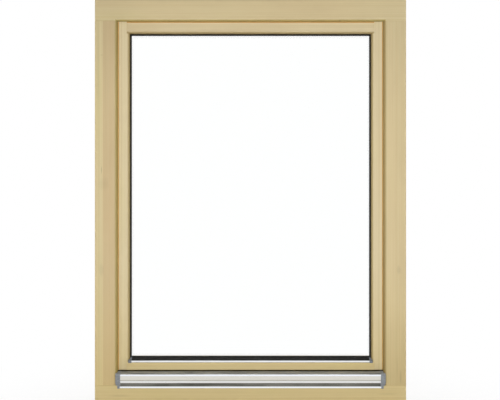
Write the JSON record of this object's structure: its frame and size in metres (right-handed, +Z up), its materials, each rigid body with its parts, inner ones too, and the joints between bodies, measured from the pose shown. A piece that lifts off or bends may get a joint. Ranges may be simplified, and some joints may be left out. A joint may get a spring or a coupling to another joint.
{
  "type": "single wooden window",
  "caption": "Upright pale softwood window with rounded inner edges, a glazed sash, black seals and a silver rain bar along the bottom.",
  "frame": {"origin": "middle of the frame's underside, halfway through the frame's thickness", "axes": "+Z up along the window's height, +X to the right seen from outside, +Y from outside into the room"},
  "size_m": [1, 0.1547, 1.3],
  "materials": {
    "frame_wood": "clear satin varnish, straight softwood grain along each member, laminated in strips",
    "sash_wood": "clear satin varnish, straight softwood grain along each member",
    "bead_wood": "clear satin varnish, straight fine softwood grain",
    "glass": "clear, plain",
    "spacer_metal": "matt, small perforations",
    "sealant": "matt, plain",
    "block_plastic": "matt, plain",
    "black_rubber": "matt, plain",
    "bar_aluminium": "satin anodised, fine lines along the extrusion",
    "cap_plastic": "fine texture, plain",
    "hardware_silver": "satin silver, plain"
  },
  "bodies": {
    "root": {"frame_head": "frame_wood", "frame_left_stile": "frame_wood", "frame_right_stile": "frame_wood", "frame_bottom_rail": "frame_wood", "sash_top_rail": "sash_wood", "sash_left_stile": "sash_wood", "sash_right_stile": "sash_wood", "sash_bottom_rail": "sash_wood", "glazing_bead_top": "bead_wood", "glazing_bead_bottom": "bead_wood", "glazing_bead_left": "bead_wood", "glazing_bead_right": "bead_wood", "outer_pane": "glass", "inner_pane": "glass", "spacer_bar": "spacer_metal", "edge_sealant": "sealant", "setting_blocks": "block_plastic", "outer_glazing_seal": "black_rubber", "inner_glazing_seal": "black_rubber", "sash_seal": "black_rubber", "rain_bar_seal": "black_rubber", "drip_rail_gasket": "black_rubber", "rain_bar": "bar_aluminium", "drip_rail": "bar_aluminium", "rain_bar_cap_left": "cap_plastic", "rain_bar_cap_right": "cap_plastic", "drip_rail_cap_left": "cap_plastic", "drip_rail_cap_right": "cap_plastic", "handle_rose": "hardware_silver", "handle_lever": "hardware_silver", "lower_hinge_frame_half": "hardware_silver", "lower_hinge_sash_half": "hardware_silver", "lower_hinge_pin": "hardware_silver", "upper_hinge_frame_half": "hardware_silver", "upper_hinge_sash_half": "hardware_silver", "upper_hinge_pin": "hardware_silver"}
  },
  "joints": []
}
